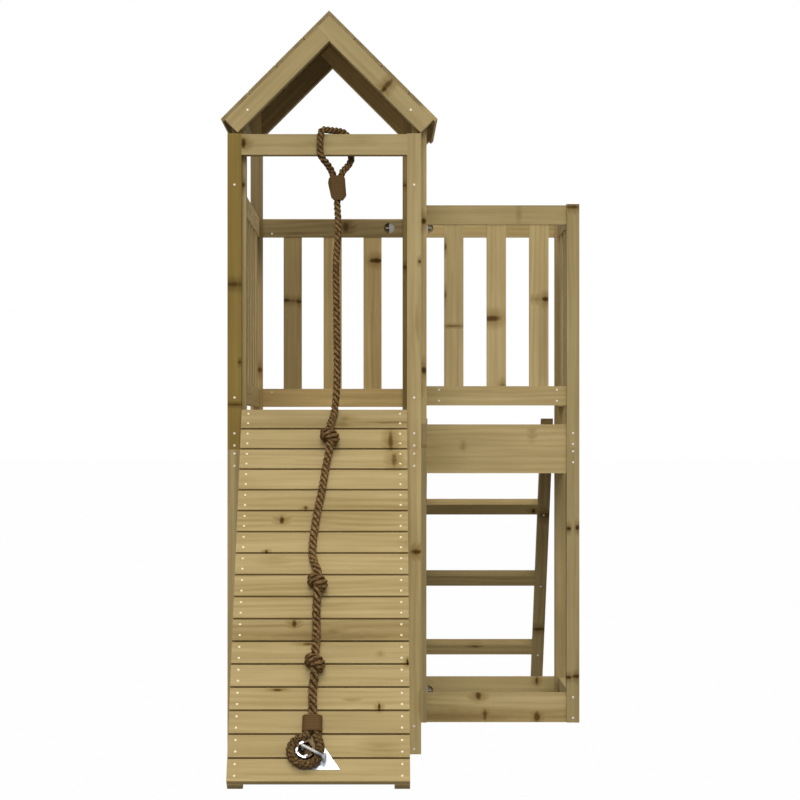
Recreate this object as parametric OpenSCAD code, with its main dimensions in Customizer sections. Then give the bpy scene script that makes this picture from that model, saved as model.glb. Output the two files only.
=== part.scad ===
/* [Timber] */
// Side of the square post timber
post = 38; // [32:1:45]
// Width of the rails and pickets
board_w = 58; // [50:1:66]
// Thickness of the rails, rims, deck boards and ramp planks
board_t = 19; // [15:1:22]
// Thickness of the pickets
picket_t = 15; // [12:1:19]

/* [Platform] */
// Width of the roofed tower over its posts
tower_w = 525; // [480:5:600]
// Width of the whole platform over its outer posts
platform_w = 1013; // [960:5:1100]
// Depth of the platform over its posts
platform_d = 1105; // [1050:5:1200]
// Depth of the extension over its posts
bay_d = 465; // [420:5:500]
// Height of the deck above the ground
deck_z = 896; // [860:2:910]
// Height of the rim boards
rim_h = 147; // [120:1:150]
// Gap between two deck boards
deck_gap = 6; // [3:1:10]
// Width wanted for a deck board
deck_board_w = 88; // [70:2:110]

/* [Posts] */
// Height of the front uprights
upright_h = 1683; // [1640:1:1690]
// Height of the railing posts
post_h = 1558; // [1556:2:1590]
// Height of the two tall rear posts of the tower
tall_post_h = 1775; // [1760:5:1800]
// Height of the beam between the front uprights
beam_h = 56; // [50:1:60]
// Height of the splice line in the spliced posts
splice_z = 826; // [780:2:840]
// Length of the half lap behind the splice line
lap_l = 60; // [40:2:80]
// Height of the base boards
base_h = 88; // [70:2:110]

/* [Railings] */
// Upper edge of the top rails
top_rail_z = 1555; // [1500:1:1556]
// Upper edge of the lower rails
low_rail_z = 1011; // [1000:1:1040]
// Gap between two pickets
picket_gap = 70; // [60:1:80]

/* [Roof] */
// Length of the roof boards, front to back
roof_d = 465; // [440:5:500]
// Reach of the eaves past the tower's width, before the roof's sideways step
eave_out = 31.5; // [24:0.5:40]
// Thickness of the roof boards
roof_board_t = 10; // [8:1:14]
// Gap between two roof boards
roof_gap = 2; // [2:1:6]
// Roof boards on each slope
roof_boards = 4; // [3:1:5]
// Width of the rafters
rafter_w = 48; // [42:1:54]
// Step from the eave back to the square end of the rafters
eave_step = 7; // [4:1:12]
// Sideways step of the roof from the middle of the tower
roof_shift = 13; // [8:1:16]
// Clearance between the uprights' tops and the rafters' lower corners
rafter_clear = 3; // [1:0.5:6]
// Spread of the front roof posts past the tower's width
post_spread = 5; // [0:1:8]
// Width that the rear roof struts stand inside the tower's width
strut_draw = 36; // [30:1:44]
// Clearance between the roof plates and the roof boards
plate_clear = 8; // [4:1:12]

/* [Ramp] */
// Slope of the ramp above the ground
ramp_angle = 56.5; // [54:0.5:62]
// Height of the ramp's upper edge
ramp_z = 934; // [920:1:940]
// Planks on the ramp
planks = 17; // [14:1:17]
// Width of a plank
plank_w = 59; // [56:0.5:61]
// Gap between two planks
plank_gap = 5.5; // [3:0.5:6]
// Depth of the stiles' square feet below the plank face, where they meet the ground
foot_cut = 42; // [38:1:50]
// Clearance between a plank and the uprights
plank_clear = 0.5; // [0.5:0.5:2]

/* [Ladder] */
// Slope of the ladder above the ground
ladder_angle = 62; // [58:1:66]
// Height where the ladder's front edge meets the rear rim
ladder_seat_z = 870; // [850:2:880]
// Height of the ladder's upper end
ladder_z = 916; // [905:1:925]
// Clearance between the ladder and the posts beside it
ladder_clear = 4; // [2:1:6]
// Height of the lowest rung's centre
rung_z = 141; // [130:1:160]
// Height between two rungs
rung_step = 243; // [220:1:250]
// Rungs on the ladder
rungs = 3; // [2:1:3]

/* [Rope] */
// Diameter of the rope where it lies slack
rope_d = 24; // [22:1:24]
// Diameter of the rope where it hangs taut
taut_d = 20; // [18:1:20]
// Width of the sleeves that clamp the rope
sleeve_w = 50; // [50:1:54]
// Depth of the sleeves
sleeve_d = 28; // [26:1:28]
// Height of the upper sleeve
upper_sleeve_h = 66; // [50:1:70]
// Length of the lower sleeve
lower_sleeve_l = 42; // [30:1:42]
// Diameter of a knot
knot_d = 56; // [48:1:56]
// Length of a knot
knot_l = 50; // [40:1:54]
// Width of the steel thimble's rim
thimble_w = 20; // [16:1:22]
// Wall of the thimble
thimble_t = 5; // [3:0.5:6]
// Thickness of the hanger plate
plate_t = 3; // [2:0.5:3]
// Diameter of the hanger's hook bar
hook_d = 8; // [6:1:10]

/* [Fasteners] */
// Diameter of a screw head
screw_d = 6; // [5:0.5:8]
// Height of a screw head above the wood
screw_h = 0.8; // [0.5:0.1:1.5]
// Diameter of the pockets for the rear rail bolts
pocket_d = 34; // [28:1:38]
// Depth of those pockets
pocket_depth = 14; // [10:1:14]
// Step from the board's face to the half-moon nut in its pocket
nut_step = 2; // [1:0.5:4]
// Diameter of the bolts through the half-moon nuts
bolt_d = 6; // [4:0.5:8]
// Length of a bolt's end past its nut
bolt_end = 11; // [8:0.5:12]

/* [Hidden] */
$fn = 48;

// Overrun of every cut past the face it cuts
over = 1;
// Clearance between curved faces
clear = 0.3;

// Centred step between a board and the post beside it
inset = (post - board_t) / 2;
// Front face of the rear posts
rear_y = platform_d - post;
// Front face of the extension posts
bay_y = platform_d - bay_d;
// Left face of the middle and right posts
middle_x = tower_w - post;
right_x = platform_w - post;
// Left face of the extension's left front post, on the outer face of the middle rim
ext_x = tower_w - inset;
ext_inner_x = ext_x + post;

// Roof: centre line, slopes as wide as the tower asks, ridge above the uprights
roof_x = tower_w / 2 + roof_shift;
pitch_angle = 45;
slope_l = (tower_w / 2 + eave_out) / cos(pitch_angle);
roof_under = -roof_board_t;
rafter_end = slope_l - eave_step;
rafter_rise = rafter_end * sin(pitch_angle) + (roof_board_t + rafter_w) * cos(pitch_angle);
ridge_z = upright_h + rafter_clear + rafter_rise;
roof_pitch = (slope_l + roof_gap) / roof_boards;
// Front roof posts stand behind the uprights, the struts in front of the rear rafters
front_roof_w = tower_w + post_spread;
rear_roof_w = tower_w - strut_draw;
front_roof_x = roof_x - front_roof_w / 2;
rear_roof_x = roof_x - rear_roof_w / 2;
front_roof_y = post;
rear_roof_y = roof_d - post - post;
// Lower edge of the roof plates, under the boards at their outer edge
roof_drop = roof_board_t / cos(pitch_angle);
plate_z = ridge_z - roof_drop - front_roof_w / 2 * tan(pitch_angle) - post - plate_clear;

// Ramp: pitch and length of the planked face, face of the rim it leans on
plank_pitch = plank_w + plank_gap;
ramp_l = planks * plank_pitch - plank_gap;
rim_y = post - board_t;
plank_l = middle_x - post - 2 * plank_clear;
ramp_toe_y = -ramp_z / tan(ramp_angle);

// Ladder: run from the seat to the ground, width between the rear posts
ladder_run = ladder_seat_z / tan(ladder_angle);
stile_run = post / sin(ladder_angle);
ladder_x0 = tower_w + ladder_clear;
ladder_x1 = right_x - ladder_clear;

// The origin is on the ground, under the middle of the outline
mid_x = (roof_x - slope_l * cos(pitch_angle) + platform_w) / 2;
mid_y = (platform_d - ramp_l * cos(ramp_angle) + ladder_run + stile_run) / 2;

// Rope: the upper sleeve hangs under the beam, the run falls past it and lies on the ramp
// Step from the uprights' tops down to the beam
beam_drop = 2;
beam_top_z = upright_h - beam_drop;
beam_z = beam_top_z - beam_h;
rope_x = 297;
rope_y = 19;
sleeve_top_z = 1570;
lie_h = rope_d / 2 + clear;
knot_h = knot_d / 2 + clear;
eye_h = plate_t + 2 * clear + rope_d / 2;
lower_sleeve_s = 925;
lower_sleeve_x = 246;
eye_x = 230;
eye_s = 1018;
// Radius of the eye along the rope's centre line, and room between the rope and the thimble
eye_r = 36;
thimble_clear = 1.2;
// Route of the loop over the beam, from the sleeve round the beam and back
loop_points = [
    [285, 19, 1570], [285, 19, 1575], [280, 15, 1586], [269, 2, 1602], [258, -8, 1614], [252, -11, 1627],
    [251, -11, 1652], [252, -11, 1674], [255, -8.5, 1687.5], [262, -3, 1692.5], [276, 8, 1692.5], [298, 26, 1692.5],
    [312, 38, 1691.5], [320, 45.5, 1686.5], [326, 49, 1675], [331, 49, 1652], [335, 49, 1630], [333, 47, 1612],
    [324, 38, 1597], [314, 25, 1585], [309, 19, 1575], [309, 19, 1570]
];
// Route of the hanging stretch
hang_points = [
    [297, 19, 1491.5], [299, 18, 1460], [300, 16, 1422], [296, 12, 1360], [294, 9, 1313], [295, 4, 1230],
    [296, -1, 1150], [297, -6, 1080], [297, -10, 1015], [294, -15, 960]
];
// Stations of the knots: sideways place and distance down the ramp
knot_stations = [[279, 105], [253, 552], [250, 782]];
// Route on the ramp: sideways place, distance down the ramp, height over the planks
lie_points = [
    [288, 28, 13], [279, 70, knot_h], [279, 105, knot_h], [279, 140, knot_h], [270, 186, lie_h], [260, 264, lie_h],
    [250, 323, lie_h], [243, 375, lie_h], [238, 437, lie_h], [241, 478, lie_h], [253, 520, knot_h],
    [253, 552, knot_h], [253, 584, knot_h], [251, 626, lie_h], [252, 704, lie_h], [250, 750, knot_h],
    [250, 782, knot_h], [250, 814, knot_h], [245, 854, lie_h], [246, 902, eye_h], [246, 925, eye_h]
];
// Route of the lower eye, in the plane of the ramp
eye_points = [
    [233, 967], [233, 973], [227, 982], [211, 987], [200, 997], [194, 1012], [197, 1032], [209, 1047],
    [230, 1054], [251, 1047], [263, 1032], [266, 1012], [264, 996], [260, 983], [258, 973], [258, 967]
];
rope_sides = 10;

// Point on the ramp from a sideways place, a distance down the slope and a height over the planks
function ramp_point(p) = [
    p[0],
    -p[1] * cos(ramp_angle) - p[2] * sin(ramp_angle),
    ramp_z - p[1] * sin(ramp_angle) + p[2] * cos(ramp_angle)
];
// The same in the side view, for outlines along the ramp
function ramp_yz(s, h) = [ramp_point([0, s, h])[1], ramp_point([0, s, h])[2]];

run_route = concat(hang_points, [for (p = lie_points) ramp_point(p)]);
ramp_normal = [0, -sin(ramp_angle), cos(ramp_angle)];
eye_route = [for (p = eye_points) ramp_point([p[0], p[1], eye_h])];

// One ring of a tube: points round a route point, square to the route
function unit(v) = v / norm(v);
function heading(route, i) = unit(route[min(i + 1, len(route) - 1)] - route[max(i - 1, 0)]);
function ring(center, along, radius, across) =
    let (side = unit(cross(along, across)), up = cross(side, along))
    [for (k = [0:rope_sides - 1])
        let (a = 360 * k / rope_sides) center + radius * (side * cos(a) + up * sin(a))];

// Closed tube along a route, with a radius for each of its points and a direction that the route never takes
module tube(route, radii, across) {
    count = len(route);
    rings = [for (i = [0:count - 1]) each ring(route[i], heading(route, i), radii[i], across)];
    sides = [
        for (i = [0:count - 2]) for (k = [0:rope_sides - 1])
            let (a = i * rope_sides + k, b = i * rope_sides + (k + 1) % rope_sides)
            each [[a, b, b + rope_sides], [a, b + rope_sides, a + rope_sides]]
    ];
    first = [for (k = [rope_sides - 1:-1:0]) k];
    last = [for (k = [0:rope_sides - 1]) (count - 1) * rope_sides + k];
    polyhedron(points = rings, faces = concat([first], sides, [last]));
}

function even_radii(route, d) = [for (p = route) d / 2];
// Radii of a rope that grows evenly from one diameter to another along its route
function growing_radii(route, d0, d1) =
    let (last = len(route) - 1) [for (i = [0:last]) (d0 + (d1 - d0) * i / last) / 2];

// Moves a piece from the tower's left front corner to the origin
module framed() {
    translate([-mid_x, -mid_y, 0]) children();
}

// Upright board or post from one corner to the opposite one
module block(low, high) {
    translate(low) cube(high - low);
}

// Outline in the side view, extruded from x0 to x1
module side_profile(x0, x1, points) {
    translate([x0, 0, 0]) rotate([90, 0, 90]) linear_extrude(x1 - x0) polygon(points);
}

// Lower length of a spliced post, with the tongue of the half lap at its back
module post_lower(x, y) {
    block([x, y, 0], [x + post, y + post, splice_z]);
    block([x, y + post / 2, splice_z - over], [x + post, y + post, splice_z + lap_l]);
}

// Upper length of a spliced post, notched for the tongue
module post_upper(x, y, top) {
    difference() {
        block([x, y, splice_z], [x + post, y + post, top]);
        block([x - over, y + post / 2, splice_z - over], [x + post + over, y + post + over, splice_z + lap_l]);
    }
}

// Pockets for the half-moon nuts, cut into the front of the rear boards
bolt_reach = 43;
bolt_places = [
    [middle_x - bolt_reach, top_rail_z - board_w / 2, 1],
    [tower_w + bolt_reach, top_rail_z - board_w / 2, -1],
    [tower_w + bolt_reach, base_h / 2, -1]
];
module bolt_pocket(place) {
    translate([place[0], rear_y + inset - over, place[1]]) rotate([-90, 0, 0])
        cylinder(d = pocket_d, h = pocket_depth + over);
}

// Pair of rails along X or along Y
module rails_x(x0, x1, y) {
    for (z = [low_rail_z, top_rail_z]) block([x0, y, z - board_w], [x1, y + board_t, z]);
}
module rails_y(y0, y1, x) {
    for (z = [low_rail_z, top_rail_z]) block([x, y0, z - board_w], [x + board_t, y1, z]);
}

// Pickets between the rails, as many as the clear length takes
function picket_count(clear_l) = floor(clear_l / (board_w + picket_gap));
function picket_start(clear_l) =
    (clear_l - picket_count(clear_l) * (board_w + picket_gap) + picket_gap) / 2;
module pickets_x(x0, x1, y) {
    for (i = [0:picket_count(x1 - x0) - 1]) {
        x = x0 + picket_start(x1 - x0) + i * (board_w + picket_gap);
        block([x, y, low_rail_z], [x + board_w, y + picket_t, top_rail_z - board_w]);
    }
}
module pickets_y(y0, y1, x) {
    for (i = [0:picket_count(y1 - y0) - 1]) {
        y = y0 + picket_start(y1 - y0) + i * (board_w + picket_gap);
        block([x, y, low_rail_z], [x + picket_t, y + board_w, top_rail_z - board_w]);
    }
}

// Deck boards across the bearers, spread evenly from y0 to y1
module deck(x0, x1, y0, y1) {
    count = round((y1 - y0 + deck_gap) / (deck_board_w + deck_gap));
    pitch = (y1 - y0 + deck_gap) / count;
    for (i = [0:count - 1])
        block([x0, y0 + i * pitch, deck_z - board_t], [x1, y0 + i * pitch + pitch - deck_gap, deck_z]);
}

// Slope frame of the roof: x runs down the slope from the ridge, z stands off it
module slope(side) {
    translate([roof_x, 0, ridge_z]) mirror([side < 0 ? 1 : 0, 0, 0]) rotate([0, pitch_angle, 0]) children();
}

// Rafter on one slope: the right one runs through to the ridge, the left one butts against it
module rafter(side, y) {
    start = side > 0 ? roof_board_t : roof_board_t + rafter_w;
    slope(side) block([start, y, roof_under - rafter_w], [rafter_end, y + post, roof_under]);
}

// Boards of one slope: the right top board laps the left one at the ridge
module roof_boards(side) {
    for (i = [0:roof_boards - 1]) {
        start = i == 0 && side < 0 ? roof_board_t : i * roof_pitch;
        slope(side) block([start, 0, roof_under], [(i + 1) * roof_pitch - roof_gap, roof_d, 0]);
    }
}

// Roof post or strut, cut to the slope of the roof boards
module roof_post(x, y, foot_z) {
    intersection() {
        block([x, y, foot_z], [x + post, y + post, ridge_z]);
        translate([roof_x, y - over, ridge_z - roof_drop]) rotate([0, pitch_angle, 0])
            translate([0, 0, -ridge_z]) cube([ridge_z, post + 2 * over, ridge_z]);
        translate([roof_x, y - over, ridge_z - roof_drop]) rotate([0, -pitch_angle, 0])
            translate([-ridge_z, 0, -ridge_z]) cube([ridge_z, post + 2 * over, ridge_z]);
    }
}

// Head of a screw on a face that looks to the front
module screw_front(x, y, z) {
    translate([x, y, z]) rotate([90, 0, 0]) cylinder(d = screw_d, h = screw_h);
}

// Frame that lies on the ramp: y runs up the slope, z stands off the planks
module on_ramp(x, s, h) {
    translate(ramp_point([x, s, h])) rotate([ramp_angle, 0, 0]) children();
}

// Flat oval sleeve that clamps two strands, standing on its end
module sleeve(length) {
    round_x = sleeve_w / 2 - sleeve_d / 2;
    for (x = [-round_x, round_x]) translate([x, 0, 0]) cylinder(d = sleeve_d, h = length);
    translate([-round_x, -sleeve_d / 2, 0]) cube([2 * round_x, sleeve_d, length]);
}

wood = "#a59268";
brown_wood = "#826e3f";
pale_wood = "#b49f75";
shade_wood = "#766747";
rope_brown = "#644b32";
sleeve_brown = "#5f4a2e";
steel = "#d8dade";

module left_upright_lower() {
    color(brown_wood) framed() post_lower(0, 0);
}
module left_upright_upper() {
    color(brown_wood) framed() post_upper(0, 0, upright_h);
}
module right_upright_lower() {
    color(wood) framed() post_lower(middle_x, 0);
}
module right_upright_upper() {
    color(wood) framed() post_upper(middle_x, 0, upright_h);
}
module top_beam() {
    color(wood) framed() block([post, 0, beam_z], [middle_x, post, beam_top_z]);
}

module roof_post_front_left() {
    color(wood) framed() roof_post(front_roof_x, front_roof_y, deck_z);
}
module roof_post_front_right() {
    color(wood) framed() roof_post(front_roof_x + front_roof_w - post, front_roof_y, deck_z);
}
// Plates along the eaves, from the front roof posts to the struts, trimmed under the roof boards
module roof_plates() {
    color(shade_wood) framed() for (x = [front_roof_x, front_roof_x + front_roof_w - post])
        block([x, front_roof_y + post, plate_z], [x + post, rear_roof_y, plate_z + post]);
}
module roof_strut_left() {
    color(shade_wood) framed() roof_post(rear_roof_x, rear_roof_y, plate_z);
}
module roof_strut_right() {
    color(shade_wood) framed() roof_post(rear_roof_x + rear_roof_w - post, rear_roof_y, plate_z);
}

module rafter_front_left() {
    color(wood) framed() rafter(-1, 0);
}
module rafter_front_right() {
    color(wood) framed() rafter(1, 0);
}
module rafter_rear_left() {
    color(shade_wood) framed() rafter(-1, roof_d - post);
}
module rafter_rear_right() {
    color(shade_wood) framed() rafter(1, roof_d - post);
}
module roof_boards_left() {
    color(wood) framed() roof_boards(-1);
}
module roof_boards_right() {
    color(wood) framed() roof_boards(1);
}

module rear_post_left() {
    color(shade_wood) framed() block([0, rear_y, 0], [post, platform_d, tall_post_h]);
}
module rear_post_middle() {
    color(shade_wood) framed() block([middle_x, rear_y, 0], [tower_w, platform_d, tall_post_h]);
}
module rear_post_right() {
    color(shade_wood) framed() block([right_x, rear_y, 0], [platform_w, platform_d, post_h]);
}
module extension_post_left_lower() {
    color(wood) framed() post_lower(ext_x, bay_y);
}
module extension_post_left_upper() {
    color(wood) framed() post_upper(ext_x, bay_y, post_h);
}
module extension_post_right_lower() {
    color(wood) framed() post_lower(right_x, bay_y);
}
module extension_post_right_upper() {
    color(wood) framed() post_upper(right_x, bay_y, post_h);
}

module front_rim() {
    color(wood) framed() block([post, rim_y, deck_z - rim_h], [middle_x, post, deck_z]);
}
module left_rim() {
    color(wood) framed() block([inset, post, deck_z - rim_h], [inset + board_t, rear_y, deck_z]);
}
module middle_rim() {
    color(wood) framed() block([ext_x - board_t, post, deck_z - rim_h], [ext_x, rear_y, deck_z]);
}
module right_rim() {
    color(wood) framed()
        block([right_x + inset, bay_y + post, deck_z - rim_h], [platform_w - inset, rear_y, deck_z]);
}
module extension_rim() {
    color(wood) framed()
        block([ext_inner_x, bay_y + inset, deck_z - rim_h], [right_x, bay_y + post - inset, deck_z]);
}
// The rear rims lie flush with the back of the posts, where the ladder leans
module rear_rims() {
    color(shade_wood) framed() for (span = [[post, middle_x], [tower_w, right_x]])
        block([span[0], platform_d - board_t, deck_z - rim_h], [span[1], platform_d, deck_z]);
}

// Square bearers on the inner faces of the side rims, under the deck boards
module deck_bearers() {
    top = deck_z - board_t;
    color(shade_wood) framed() {
        for (x = [inset + board_t, ext_x - board_t - post]) block([x, post, top - post], [x + post, rear_y, top]);
        for (x = [ext_x, right_x + inset - post]) block([x, bay_y + post, top - post], [x + post, rear_y, top]);
    }
}
module tower_deck_boards() {
    color(pale_wood) framed() deck(inset + board_t, ext_x - board_t, post, rear_y);
}
module extension_deck_boards() {
    color(pale_wood) framed() deck(ext_x, right_x + inset, bay_y + post, rear_y);
}

module rear_rails() {
    color(shade_wood) framed() difference() {
        rails_x(post, middle_x, rear_y + inset);
        bolt_pocket(bolt_places[0]);
    }
}
module rear_pickets() {
    color(shade_wood) framed() pickets_x(post, middle_x, rear_y + (post - picket_t) / 2);
}
module ladder_bar() {
    color(shade_wood) framed() difference() {
        block([tower_w, rear_y + inset, top_rail_z - board_w], [right_x, platform_d - inset, top_rail_z]);
        bolt_pocket(bolt_places[1]);
    }
}
module left_rails() {
    color(wood) framed() rails_y(front_roof_y + post, rear_y, inset);
}
module left_pickets() {
    color(wood) framed() pickets_y(front_roof_y + post, rear_y, (post - picket_t) / 2);
}
// The rails beside the roofed bay run from the roof post to the extension's post
module middle_rails() {
    color(wood) framed() rails_y(front_roof_y + post, bay_y, ext_x);
}
module middle_pickets() {
    color(wood) framed() pickets_y(front_roof_y + post, bay_y, ext_x + (board_t - picket_t) / 2);
}
module extension_rails() {
    color(wood) framed() rails_x(ext_inner_x, right_x, bay_y + inset);
}
module extension_pickets() {
    color(wood) framed() pickets_x(ext_inner_x, right_x, bay_y + (post - picket_t) / 2);
}
module right_rails() {
    color(wood) framed() rails_y(bay_y + post, rear_y, right_x + inset);
}
module right_pickets() {
    color(wood) framed() pickets_y(bay_y + post, rear_y, right_x + (post - picket_t) / 2);
}

// Boards round the foot of the extension
module base_boards() {
    color(wood) framed() {
        block([ext_inner_x, bay_y + inset, 0], [right_x, bay_y + post - inset, base_h]);
        difference() {
            block([tower_w, rear_y + inset, 0], [right_x, platform_d - inset, base_h]);
            bolt_pocket(bolt_places[2]);
        }
        block([right_x + inset, bay_y + post, 0], [platform_w - inset, rear_y, base_h]);
        block([tower_w - board_t, bay_y + post, 0], [tower_w, rear_y, base_h]);
    }
}

// Ladder stiles: cut level on the ground and upright against the rear rim
module ladder_stiles() {
    outline = [
        [platform_d + ladder_run, 0], [platform_d, ladder_seat_z], [platform_d, ladder_z],
        [platform_d + (ladder_seat_z - ladder_z) / tan(ladder_angle) + stile_run, ladder_z],
        [platform_d + ladder_run + stile_run, 0]
    ];
    color(shade_wood) framed() for (x = [ladder_x0, ladder_x1 - post]) side_profile(x, x + post, outline);
}
module ladder_rungs() {
    color(shade_wood) framed() for (i = [0:rungs - 1]) {
        z = rung_z + i * rung_step;
        y = platform_d + (ladder_seat_z - z) / tan(ladder_angle) + stile_run / 2;
        translate([ladder_x0 + post, y, z]) rotate([90 - ladder_angle, 0, 0])
            translate([0, -post / 2, -post / 2]) cube([ladder_x1 - ladder_x0 - 2 * post, post, post]);
    }
}

// Ramp stiles: they lean on the front rim, with a square lower end whose back corner is cut to the ground
module ramp_stiles() {
    under = -board_t - post;
    end_s = (ramp_z - foot_cut * cos(ramp_angle)) / sin(ramp_angle);
    outline = [
        ramp_yz(0, -board_t), ramp_yz(0, -rim_y / sin(ramp_angle)),
        [rim_y, ramp_z + (rim_y + under * sin(ramp_angle)) * tan(ramp_angle) + under * cos(ramp_angle)],
        [ramp_toe_y - under / sin(ramp_angle), 0],
        ramp_yz(end_s, -foot_cut), ramp_yz(end_s, -board_t)
    ];
    color(wood) framed() for (x = [post + plank_clear, middle_x - post - plank_clear])
        side_profile(x, x + post, outline);
}
module ramp_planks() {
    color(pale_wood) framed() for (i = [0:planks - 1])
        on_ramp(post + plank_clear, i * plank_pitch + plank_w, -board_t) cube([plank_l, plank_w, board_t]);
}

// Screw head on the underside of a ladder stile
module ladder_screw(x, z) {
    translate([x, platform_d + (ladder_seat_z - z) / tan(ladder_angle), z]) rotate([180 - ladder_angle, 0, 0])
        cylinder(d = screw_d, h = screw_h);
}
// Screws of the spliced posts, in pairs above and below the splice line, and of their feet
module frame_screws() {
    near = 11;
    far = 44;
    foot = 14.5;
    foot_rise = 62;
    rail_edge = 30;
    rafter_edge = 62;
    rung_drop = 28;
    heights = [foot, foot + foot_rise, splice_z - far, splice_z - near, splice_z + near, splice_z + far];
    color(steel) framed() {
        for (x = [post / 2, tower_w - post / 2]) {
            for (z = concat(heights, [low_rail_z - far, top_rail_z - near])) screw_front(x, 0, z);
        }
        for (z = heights) screw_front(platform_w - post / 2, bay_y, z);
        for (x = [ext_inner_x + post, right_x - board_w / 2])
            for (z = [low_rail_z - near, low_rail_z - far]) screw_front(x, bay_y + inset, z);
        for (z = [top_rail_z - board_w + near, low_rail_z - near]) screw_front(post + rail_edge, rear_y + inset, z);
        for (z = [top_rail_z - board_w / 2, low_rail_z - near])
            translate([inset + board_t, bay_y, z]) rotate([0, 90, 0]) cylinder(d = screw_d, h = screw_h);
        for (x = [ladder_x0 + post / 2, ladder_x1 - post / 2])
            for (i = [0:rungs - 1]) ladder_screw(x, rung_z + i * rung_step - rung_drop);
        for (side = [-1, 1])
            slope(side) screw_front(rafter_end - rafter_edge, 0, roof_under - rafter_w / 2);
    }
}
// Two screws at each end of every ramp plank
module ramp_screws() {
    edge = 14;
    seat = 0.05;
    color(steel) framed() for (i = [0:planks - 1])
        for (x = [post + plank_clear + post / 2, middle_x - plank_clear - post / 2])
            for (y = [edge, plank_w - edge])
                on_ramp(x, i * plank_pitch + y, seat) cylinder(d = screw_d, h = screw_h);
}
// Half-moon nuts in their pockets, each with the end of the bolt that pulls the board to the post
module rear_bolts() {
    color(steel) framed() for (p = bolt_places) translate([p[0], rear_y + inset + nut_step, p[1]])
        rotate([-90, 0, 0]) {
            depth = pocket_depth - nut_step;
            intersection() {
                cylinder(d = pocket_d, h = depth);
                translate([p[2] > 0 ? 0 : -pocket_d, -pocket_d, 0]) cube([pocket_d, 2 * pocket_d, depth]);
            }
            translate([0, 0, depth / 2]) rotate([0, p[2] > 0 ? -90 : 90, 0]) cylinder(d = bolt_d, h = bolt_end);
        }
}

module rope_loop() {
    color(rope_brown) framed() tube(loop_points, even_radii(loop_points, taut_d), [1, 0, 0]);
}
// The upper sleeve leans to the right and narrows towards its ends
module upper_sleeve() {
    shares = [
        [-0.33, 1], [0.33, 1], [0.43, 0.88], [0.5, 0.18], [0.31, 0],
        [-0.16, 0], [-0.33, 0.12], [-0.5, 0.7], [-0.46, 0.86]
    ];
    outline = [for (p = shares) [p[0] * sleeve_w, p[1] * upper_sleeve_h]];
    color(sleeve_brown) framed() translate([rope_x, rope_y, sleeve_top_z - upper_sleeve_h]) intersection() {
        sleeve(upper_sleeve_h);
        translate([0, sleeve_d, 0]) rotate([90, 0, 0]) linear_extrude(2 * sleeve_d) polygon(outline);
    }
}
// The run starts in a dome under the sleeve
module rope_run() {
    dome_shares = [[1, 0.1], [0.85, 0.53], [0.5, 0.87]];
    top = run_route[0];
    dome = [for (d = dome_shares) top + [0, 0, d[0] * taut_d / 2]];
    radii = concat([for (d = dome_shares) d[1] * taut_d / 2], growing_radii(run_route, taut_d, rope_d));
    color(rope_brown) framed() tube(concat(dome, run_route), radii, [1, 0, 0]);
}
// Knots: rounded collars that the rope runs through
module rope_knots() {
    bulge = (knot_d - rope_d) / 4;
    color(rope_brown) framed() for (p = knot_stations)
        on_ramp(p[0], p[1], knot_h) rotate([90, 0, 0]) translate([0, 0, -knot_l / 2]) difference() {
            rotate_extrude() {
                for (z = [bulge, knot_l / 2, knot_l - bulge])
                    translate([knot_d / 2 - bulge, z]) circle(r = bulge);
                translate([rope_d / 2 - bulge, bulge]) square([knot_d / 2 - rope_d / 2, knot_l - 2 * bulge]);
            }
            translate([0, 0, -over]) cylinder(d = rope_d + 2 * clear, h = knot_l + 2 * over);
        }
}
module lower_sleeve() {
    color(sleeve_brown) framed() on_ramp(lower_sleeve_x, lower_sleeve_s, eye_h)
        rotate([90, 0, 0]) sleeve(lower_sleeve_l);
}
module rope_eye() {
    color(rope_brown) framed() tube(eye_route, even_radii(eye_route, rope_d), ramp_normal);
}
// Steel thimble in the eye: a teardrop band, round below and pointed towards the sleeve
module thimble() {
    radius = eye_r - rope_d / 2 - thimble_clear;
    color(steel) framed() on_ramp(eye_x, eye_s, eye_h - thimble_w / 2) linear_extrude(thimble_w)
        difference() {
            teardrop(radius);
            scale((radius - thimble_t) / radius) teardrop(radius);
        }
}
module teardrop(radius) {
    tip_shares = [0.45, 1.2];
    left_shares = [-0.79, 0.62];
    right_shares = [0.99, 0.1];
    circle(radius);
    polygon([[0, 0], right_shares * radius, tip_shares * radius, left_shares * radius]);
}
// Hanger: a four-cornered plate under the eye, a lug beside it and a bar that hooks through the thimble
module hanger_hook() {
    plate = [[-28, 16], [-16, -44], [85, -44], [49, 12]];
    bar_angle = -29;
    bar_side = 4;
    bar_start = -10;
    lug_w = 14;
    lug_t = 6;
    lug_over = 2;
    lug_x = eye_r + rope_d / 2 + 2 * clear;
    bar_h = eye_h + rope_d / 2 + hook_d / 2;
    color(steel) framed() on_ramp(eye_x, eye_s, clear) {
        linear_extrude(plate_t) polygon(plate);
        rotate([0, 0, bar_angle]) translate([0, bar_side, 0]) {
            translate([lug_x, -lug_w / 2, 0]) cube([lug_t, lug_w, bar_h + hook_d / 2 + lug_over]);
            translate([bar_start, 0, bar_h]) rotate([0, 90, 0]) cylinder(d = hook_d, h = lug_x + lug_t / 2 - bar_start);
            translate([bar_start, 0, hook_d]) cylinder(d = hook_d, h = bar_h - hook_d);
            translate([bar_start, 0, bar_h]) sphere(d = hook_d);
        }
    }
}

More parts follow.
